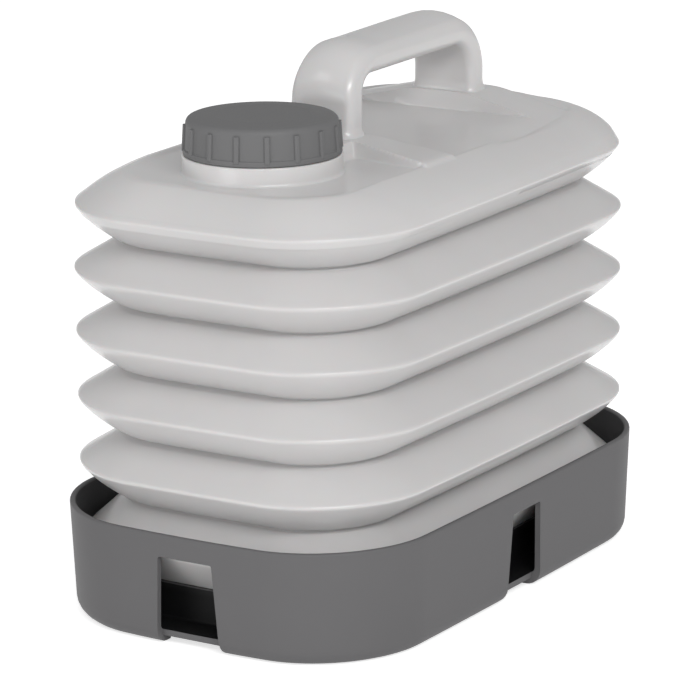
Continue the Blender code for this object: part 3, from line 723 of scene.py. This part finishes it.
def bellowsTree(values):
    board, ask = startTree("bellowsTree", values)

    def ease(value):
        return board.node("ShaderNodeMapRange", {"interpolation_type": "SMOOTHSTEP"}, {"Value": value})

    # Flat outline with bowed sides
    plain = board.node("GeometryNodeCurvePrimitiveQuadrilateral", None,
                       {"Width": ask["Length"], "Height": ask["Width"]})
    rounded = board.node("GeometryNodeFilletCurve", {"mode": "POLY"},
                         {"Curve": plain, "Count": 40, "Radius": ask["Corner"]})
    resampled = board.node("GeometryNodeResampleCurve", None, {"Curve": rounded, "Count": ask["Ring Steps"]})
    position = board.node("GeometryNodeInputPosition")
    here = board.node("ShaderNodeSeparateXYZ", None, {0: position}, output="all")
    x, y = here["X"], here["Y"]
    halfLength, halfWidth = ask["Length"] / 2, ask["Width"] / 2
    sizeX, sizeY = board.maths("ABSOLUTE", x), board.maths("ABSOLUTE", y)
    endReach = ease((sizeX - halfLength + ask["Corner"]) / ask["Corner"] * 3)
    sideReach = ease((sizeY - halfWidth + ask["Corner"]) / ask["Corner"] * 3)
    acrossShare, alongShare = y / halfWidth, x / halfLength
    pushX = ask["End Bow"] * (1 - acrossShare * acrossShare) * endReach * board.maths("SIGN", x)
    pushY = ask["Side Bow"] * (1 - alongShare * alongShare) * sideReach * board.maths("SIGN", y)
    push = board.node("ShaderNodeCombineXYZ", None, {"X": pushX, "Y": pushY})
    path = board.node("GeometryNodeSetPosition", None, {"Geometry": resampled, "Offset": push})
    # Zigzag section: inset from the outline against height
    line = board.node("GeometryNodeCurvePrimitiveLine", None, {"Start": (0, 0, 0), "End": (0, 1, 0)})
    fine = board.node("GeometryNodeResampleCurve", None, {"Curve": line, "Count": ask["Profile Steps"]})
    factor = board.node("GeometryNodeSplineParameter", output="Factor")
    height = ask["Low"] + (ask["High"] - ask["Low"]) * factor
    valley = ask["Valley Place"]
    phase = board.maths("WRAP", (height - ask["First Tip"]) / ask["Pitch"], 1.0, 0.0)
    wave = board.maths("MINIMUM", phase / valley, (1 - phase) / (1 - valley))
    soft = board.maths("SMOOTH_MAX", wave, 0.0, ask["Tip Round"] * 2)
    soft = board.maths("SMOOTH_MIN", soft, 1.0, ask["Valley Round"] * 2)
    # The face under each tip is bowed outward, the one over it is straight
    bow = wave * (1 - wave) * 4 * ask["Bulge"] * board.maths("GREATER_THAN", phase, valley)
    topTip = ask["First Tip"] + ask["Pitch"] * 3
    tipInset = ask["Top Inset"] * board.maths("GREATER_THAN", height, topTip + ask["Pitch"] * valley)
    crease = ease((wave - 1 + ask["Crease Width"]) / ask["Crease Width"]) * ask["Crease Depth"]
    upper = tipInset + soft * (ask["Depth"] - tipInset) - bow + crease
    lowValley = ask["First Tip"] - ask["Pitch"] * (1 - valley)
    climb = (height - ask["Low"]) / (lowValley - ask["Low"])
    lower = ask["Low Inset"] + (ask["Depth"] - ask["Low Inset"]) * board.maths("SMOOTH_MAX", climb, 0.0, 0.12)
    isLow = board.maths("LESS_THAN", height, lowValley)
    inset = lower * isLow + upper * (1 - isLow)
    shape = board.node("ShaderNodeCombineXYZ", None, {"X": inset * -1, "Y": height * -1})
    section = board.node("GeometryNodeSetPosition", None, {"Geometry": fine, "Position": shape})
    swept = board.node("GeometryNodeCurveToMesh", None, {"Curve": path, "Profile Curve": section})
    # The upper folds lean down to the neck end
    rise = (here["Z"] - ask["Lean From"]) / (ask["High"] - ask["Lean From"])
    share = board.maths("MAXIMUM", rise, 0.0)
    offset = board.node("ShaderNodeCombineXYZ", None, {"Z": share * (ask["Lean"] * x + ask["Drop"])})
    leant = board.node("GeometryNodeSetPosition", None, {"Geometry": swept, "Offset": offset})
    smooth = board.node("GeometryNodeSetShadeSmooth", None, {"Geometry": leant})
    real = board.node("GeometryNodeRealizeInstances", None, {"Geometry": smooth})
    dressed = board.node("GeometryNodeSetMaterial", None, {"Geometry": real, "Material": ask["Finish"]})
    board.node("NodeGroupOutput", None, {0: dressed})
    return board.tree


def makeBellows():
    size, outline = bellowsSizes, foldOutline
    leanRise, leanDrop = shellSizes["lean"]
    creaseWidth, creaseDepth = size["crease"]
    lengths = {
        "Length": outline["length"] + 2 * size["tipPush"], "Width": outline["width"] + 2 * size["tipPush"],
        "Corner": outline["corner"], "End Bow": outline["endBow"], "Side Bow": outline["sideBow"],
        "Pitch": size["pitch"], "Depth": size["depth"], "First Tip": size["firstTip"], "Low": size["low"],
        "Low Inset": size["lowInset"], "Top Inset": size["topInset"], "High": size["seam"],
        "Bulge": size["bulge"], "Crease Depth": creaseDepth, "Drop": leanDrop, "Lean From": size["leanFrom"]}
    values = {name: value * mm for name, value in lengths.items()}
    values.update({
        "Valley Place": size["valleyPlace"], "Tip Round": size["tipRound"],
        "Valley Round": size["valleyRound"], "Crease Width": creaseWidth, "Lean": leanRise,
        "Profile Steps": size["profileSteps"], "Ring Steps": size["ringSteps"], "Finish": tankPlastic})
    return applyTree("bellows", bellowsTree(values), values)


bellows = makeBellows()

# Bottom pan of the tank
panSizes = {"floor": 25.5, "floorInset": 22.9, "tip": 44.0, "tipInset": 4.0, "wall": 1.6, "middle": 60.0,
            "steps": (30, 24, 60)}


def makeBottomPan():
    size = panSizes
    wall, tip, tipInset, middle = size["wall"], size["tip"], size["tipInset"], size["middle"]
    floor, floorInset = size["floor"], size["floorInset"]
    path = roundedPath([(middle, floor + 0.4, 0), (floorInset - 2.9, floor, 3.5),
                        (tipInset - 0.1, tip - 0.2, 1.8), (tipInset + 2.5, tip + 3.2, 0)], 6)
    path += [(tipInset + 2.5 + wall, tip + 3.2), (tipInset + 0.6 + 1.6 * wall, tip),
             (floorInset - 2.0 + wall, floor + 1.7 * wall), (middle, floor + 0.4 + wall)]
    rings = [[(x, y, z) for x, y in outlinePoints(foldOutline, a, size["steps"])] for a, z in path]
    return makePiece("bottomPan", *joinRings(rings, ends="flat"), tankPlastic)


bottomPan = makeBottomPan()
print("bellows made")

# Tray: one moulding with a pedestal, a foot ring and four windows. "endWindow" and "sideWindow" are the half
# widths at the top and the foot
traySizes = {
    "height": 59.5, "wall": 3.0, "draft": 2.5, "footRadius": 9.0, "footWidth": 3.0, "floor": 7.0,
    "underside": 4.0, "pedestalTop": 25.2, "pedestalInset": 19.9, "rim": 1.1, "windowTop": 47.7,
    "endWindow": (16.0, 18.5), "sideWindow": (14.0, 17.0), "windowFoot": 6.5, "windowRound": 1.2,
    # Faces further in than the inset on the next line get the darker painted-shade copy of the plastic
    "windowCut": 7.5, "below": -2, "paintedShadeInset": 9.0, "steps": (36, 40, 80),
}


def trayRings():
    size = traySizes
    wall, draft, height, rim = size["wall"], size["draft"], size["height"], size["rim"]
    floor, under, top = size["floor"], size["underside"], size["pedestalTop"]
    pedestal, hollow = size["pedestalInset"], size["pedestalInset"] + wall
    foot = draft + size["footRadius"] + size["footWidth"]
    # (inset from the fold's or the tray's outline, height, rounding, which outline)
    skin = [(pedestal + 20, top, 0, "fold"), (pedestal, top, 1.2, "fold"),
            (pedestal - 0.6, floor, 1.5, "fold"), (draft + wall, floor, 3.0, "tray"),
            (wall, height, rim, "tray"), (0.0, height, rim, "tray"),
            (draft, 0.0, size["footRadius"], "tray"), (foot, 0.0, 0.5, "tray"),
            (foot + 0.6, under, 0.6, "tray"), (hollow - 0.6, under, 0.8, "fold"),
            (hollow, top - wall, 1.0, "fold"), (hollow + 17, top - wall, 0, "fold")]
    shift = (trayOutline["width"] - foldOutline["width"]) / 2
    flat = [(a + (shift if which == "fold" else 0), z, r) for a, z, r, which in skin]
    rings = []
    for a, z in roundedPath(flat, 6):
        # The pedestal follows the fold's outline and the wall follows the tray's
        share = smoothStep((a - 8) / 12)
        outer = outlinePoints(trayOutline, a, size["steps"])
        inner = outlinePoints(foldOutline, a - shift, size["steps"])
        rings.append([(mix(p[0], q[0], share), mix(p[1], q[1], share), z) for p, q in zip(outer, inner)])
    return rings


def trayCutters():
    # A window through the wall in the middle of each side, and a notch in the foot ring under it
    size, outline = traySizes, trayOutline
    top, foot, below, under = size["windowTop"], size["windowFoot"], size["below"], size["underside"]
    cut, curve = size["windowCut"], size["windowRound"]
    cutters = []
    sides = (("neckEnd", True, -1), ("farEnd", True, 1), ("front", False, -1), ("back", False, 1))
    for name, alongX, sign in sides:
        topHalf, footHalf = size["endWindow"] if alongX else size["sideWindow"]
        side, bow = ("length", "endBow") if alongX else ("width", "sideBow")
        edge = outline[side] / 2 + outline[bow]
        slope = (footHalf - topHalf) / (top - foot)
        lowHalf = footHalf + slope * (foot - below)
        window = roundedPath([(0, below, 0), (-lowHalf, below, 0), (-topHalf, top, curve),
                              (topHalf, top, curve), (lowHalf, below, 0)], 4)
        notch = [(0, below), (-lowHalf, below), (-lowHalf, under), (lowHalf, under), (lowHalf, below)]
        notchDepth = cut + size["footRadius"] + 2 * size["footWidth"]
        holes = (("window", window, (-4.0, cut)), ("notch", notch, (cut - 1.0, notchDepth)))
        for part, shape, depths in holes:
            rows = []
            for depth in depths:
                reach = sign * (edge - depth)
                rows.append([(reach, across, z) if alongX else (across, reach, z) for across, z in shape])
            cutters.append(makePiece(part + name, *joinRings(rows, ends="flat"), trayPlastic))
    return cutters


def makeTray():
    size = traySizes
    piece = makePiece("tray", *joinRings(trayRings(), ends="flat"), trayPlastic)
    cutPiece(piece, trayCutters())
    mesh = piece.data
    # Painted shade: the second slot is the darker copy of the plastic for the tray's inner faces
    mesh.materials.append(paintedShadeInsidePlastic)
    for face in mesh.polygons:
        # Inner faces below the rim, apart from the pedestal's top, get the darker copy of the plastic,
        # painted shade for the shade inside the tray
        x, y, z = (value / mm for value in face.center)
        inward = face.normal.x * x + face.normal.y * y < -0.3 * math.hypot(x, y)
        core = insetAt(trayOutline, x, y) > size["paintedShadeInset"]
        shelf = z > size["pedestalTop"] - 2 and face.normal.z > 0.5
        between = size["underside"] + 0.3 < z < size["height"] - 1.2
        if between and not shelf and (inward or core or face.normal.z > 0.7):
            face.material_index = 1
    mesh.set_sharp_from_angle(angle=math.radians(40))
    return piece


tray = makeTray()
print("tray made")

# Screw cap: a turned body with grip ribs round its skirt
capSizes = {
    "foot": 240.9, "flange": 40.0, "flangeHeight": 2.6, "recess": 39.1, "recessTop": 38.4, "shoulder": 256.2,
    "top": 259.9, "topRadius": 36.6, "bore": 36.2, "threadTop": 255.0, "ceiling": 257.7,
    "ribs": 16, "ribTurn": -8.4, "ribWidth": 4.5, "ribDepth": 3.0, "ribEdge": 0.9, "ribRadius": 39.7,
    "ribRadiusTop": 38.85,
}


def makeCapBody():
    size = capSizes
    count = 192
    foot, flange, top, bore, ceiling = (size[name] for name in ("foot", "flange", "top", "bore", "ceiling"))
    ledge = foot + size["flangeHeight"]
    outside = roundedPath([
        (bore + 0.6, foot, 0), (flange, foot, 0.5), (flange - 0.1, ledge, 0.35),
        (size["recess"], ledge + 0.5, 0.4), (size["recessTop"], size["shoulder"] - 0.4, 1.5),
        (size["topRadius"] + 1.7, top - 0.5, 3.4), (24.0, top + 0.5, 6.0), (1.0, top + 0.8, 0)], 6)
    rings = [circlePoints(radius, z, count) for radius, z in outside[::-1]]
    rings += [circlePoints(bore, foot + 0.6, count)]
    # The inside thread runs half a turn behind the neck's, so that the two stand clear of each other
    start = neckSizes["threadStart"] + neckSizes["lead"] / 2
    depth = neckSizes["depth"]
    rings += threadRings(bore, -depth, foot + 1.0, size["threadTop"], start, count, 48)
    rings += [circlePoints(bore - depth, ceiling, count), circlePoints(1.0, ceiling, count)]
    return makePiece("capBody", *joinRings(rings, ends="flat"), capPlastic)


def ribTree(values):
    board, ask = startTree("ribTree", values)
    # One rib: a rounded bar section swept up the skirt, leaning in with it
    half = ask["Depth"] / 2
    low = board.node("ShaderNodeCombineXYZ", None, {"X": ask["Radius"] - half, "Z": ask["Low"]})
    high = board.node("ShaderNodeCombineXYZ", None, {"X": ask["Top Radius"] - half, "Z": ask["High"]})
    spine = board.node("GeometryNodeCurvePrimitiveLine", None, {"Start": low, "End": high})
    section = board.node("GeometryNodeCurvePrimitiveQuadrilateral", None,
                         {"Width": ask["Depth"], "Height": ask["Width"]})
    softSection = board.node("GeometryNodeFilletCurve", {"mode": "POLY"},
                             {"Curve": section, "Count": 4, "Radius": ask["Edge"], "Limit Radius": True})
    bar = board.node("GeometryNodeCurveToMesh", None,
                     {"Curve": spine, "Profile Curve": softSection, "Fill Caps": True})
    # Its copies are turned round the cap's axis
    centre = board.node("ShaderNodeCombineXYZ", None, {"X": ask["Centre"]})
    spots = board.node("GeometryNodePoints", None, {"Count": ask["Count"], "Position": centre})
    number = board.node("GeometryNodeInputIndex")
    angle = number / ask["Count"] * (2 * math.pi) + ask["Turn"]
    turn = board.node("ShaderNodeCombineXYZ", None, {"Z": angle})
    ribs = board.node("GeometryNodeInstanceOnPoints", None,
                      {"Points": spots, "Instance": bar, "Rotation": turn})
    real = board.node("GeometryNodeRealizeInstances", None, {"Geometry": ribs})
    dressed = board.node("GeometryNodeSetMaterial", None, {"Geometry": real, "Material": ask["Finish"]})
    board.node("NodeGroupOutput", None, {0: dressed})
    return board.tree


def makeCapRibs():
    size = capSizes
    lengths = {"Radius": size["ribRadius"], "Top Radius": size["ribRadiusTop"], "Width": size["ribWidth"],
               "Low": size["foot"] + 1.6, "High": size["shoulder"] - 0.4, "Depth": size["ribDepth"],
               "Centre": neckX, "Edge": size["ribEdge"]}
    values = {name: value * mm for name, value in lengths.items()}
    values.update({"Turn": math.radians(size["ribTurn"]), "Count": size["ribs"], "Finish": capPlastic})
    piece = applyTree("capRibs", ribTree(values), values)
    piece.data.shade_smooth()
    piece.data.set_sharp_from_angle(angle=math.radians(50))
    return piece


capBody = makeCapBody()
capRibs = makeCapRibs()
print("cap made")

# What each piece stands for and moves with
for piece, body, nodes in (
        (topShell, "top", ("top_shell", "fold_web_0")), (handle, "top", ("handle",)),
        (neck, "top", ("neck",)), (bottomPan, "tank_base", ("tank_bottom",)),
        (tray, "tray", ("tray",)), (capBody, "cap", ("cap",))):
    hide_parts(*nodes)
    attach(piece, body)
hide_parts(*[f"fold_panel_{i}" for i in (1, 2, 3, 4)], *[f"fold_web_{i}" for i in (1, 2, 3, 4)])
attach(bellows, "tank_base")
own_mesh(bellows)
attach(capRibs, "cap")
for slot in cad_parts["cap_seal"].material_slots:
    slot.material = sealRubber

# Camera at the photograph's place, with its angles in degrees
cameraSizes = {"azimuth": 32.018, "elevation": 15.086, "roll": -0.597, "distance": 2041.5, "aimZ": 101.7,
               "lens": 199.2, "shift": (-0.0102, 0.0449)}


def makeCamera():
    size = cameraSizes
    turn, tilt, roll = (math.radians(size[name]) for name in ("azimuth", "elevation", "roll"))
    ahead = Vector((math.cos(tilt) * math.cos(turn), math.cos(tilt) * math.sin(turn), -math.sin(tilt)))
    right = ahead.cross(Vector((0, 0, 1))).normalized()
    up = right.cross(ahead)
    rolledRight = right * math.cos(roll) + up * math.sin(roll)
    rolledUp = up * math.cos(roll) - right * math.sin(roll)
    data = bpy.data.cameras.new("camera")
    data.sensor_width = 36
    data.lens = size["lens"]
    data.shift_x, data.shift_y = size["shift"]
    data.clip_start, data.clip_end = 0.05, 50
    camera = bpy.data.objects.new("camera", data)
    bpy.context.scene.collection.objects.link(camera)
    place = (Vector((0, 0, size["aimZ"])) - ahead * size["distance"]) * mm
    axes = Matrix((rolledRight, rolledUp, -ahead)).transposed().to_4x4()
    camera.matrix_world = Matrix.Translation(place) @ axes
    bpy.context.scene.camera = camera


# Floor, sky and lamps. Their places and sizes are in metres
studioSizes = {"reach": 6.0, "floorColour": (0.8, 0.8, 0.8), "floorGlow": 0.26, "floorSeen": 0.4, "sky": 0.5,
               "aimHeight": 0.14}
lampSizes = {
    "strip": {"place": (-1.38, -1.55, 1.45), "size": (1.6, 0.35), "power": 26.0},
    "side": {"place": (-1.7, 1.2, 1.45), "size": (0.6, 0.6), "power": 3.5},
    "left": {"place": (-2.25, 0.6, 0.32), "size": (1.0, 0.6), "power": 5.3},
    "front": {"place": (-0.85, -1.15, 0.42), "size": (0.6, 0.4), "power": 0.8},
}


def raysSeen(board, *kinds):
    # 1 for a ray from the camera or of one of the kinds named, otherwise 0
    rays = board.node("ShaderNodeLightPath", output="all")
    seen = rays["Is Camera Ray"]
    for kind in kinds:
        seen = seen + rays[kind]
    return board.maths("MINIMUM", seen, 1.0)


def makeFloor():
    size = studioSizes
    reach = size["reach"]
    data = bpy.data.meshes.new("floor")
    corners = [(-reach, -reach, 0), (reach, -reach, 0), (reach, reach, 0), (-reach, reach, 0)]
    data.from_pydata(corners, [], [(0, 1, 2, 3)])
    made, board = newMaterial("floorWhite")
    seen = raysSeen(board, "Is Glossy Ray", "Is Transmission Ray")
    matt = board.node("ShaderNodeBsdfDiffuse", None, {"Color": (*size["floorColour"], 1)})
    glow = board.node("ShaderNodeEmission", None,
                      {"Color": (1, 1, 1, 1), "Strength": seen * size["floorSeen"] + size["floorGlow"]})
    closeMaterial(board, board.node("ShaderNodeAddShader", None, {0: matt, 1: glow}))
    data.materials.append(made)
    floor = bpy.data.objects.new("floor", data)
    bpy.context.scene.collection.objects.link(floor)
    floor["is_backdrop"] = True


def makeSky():
    level = studioSizes["sky"]
    world = bpy.data.worlds.new("sky")
    world.use_nodes = True
    world.node_tree.nodes.clear()
    board = Board(world.node_tree)
    seen = raysSeen(board, "Is Transmission Ray")
    shade = board.node("ShaderNodeBackground", None,
                       {"Color": (1, 1, 1, 1), "Strength": seen * (1 - level) + level})
    board.node("ShaderNodeOutputWorld", None, {"Surface": shade})
    bpy.context.scene.world = world


def makeLamps():
    aim = Vector((0, 0, studioSizes["aimHeight"]))
    for name, size in lampSizes.items():
        lamp = bpy.data.lights.new(name, "AREA")
        lamp.shape = "RECTANGLE"
        lamp.size, lamp.size_y = size["size"]
        lamp.energy = size["power"]
        holder = bpy.data.objects.new(name, lamp)
        bpy.context.scene.collection.objects.link(holder)
        holder.location = size["place"]
        holder.rotation_mode = "QUATERNION"
        holder.rotation_quaternion = (aim - Vector(size["place"])).to_track_quat("-Z", "Y")


makeCamera()
makeFloor()
makeSky()
makeLamps()
bpy.context.scene.view_settings.view_transform = "Standard"
print("camera and studio made")

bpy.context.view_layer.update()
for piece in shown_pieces():
    print(piece.name, len(piece.data.polygons), "faces")
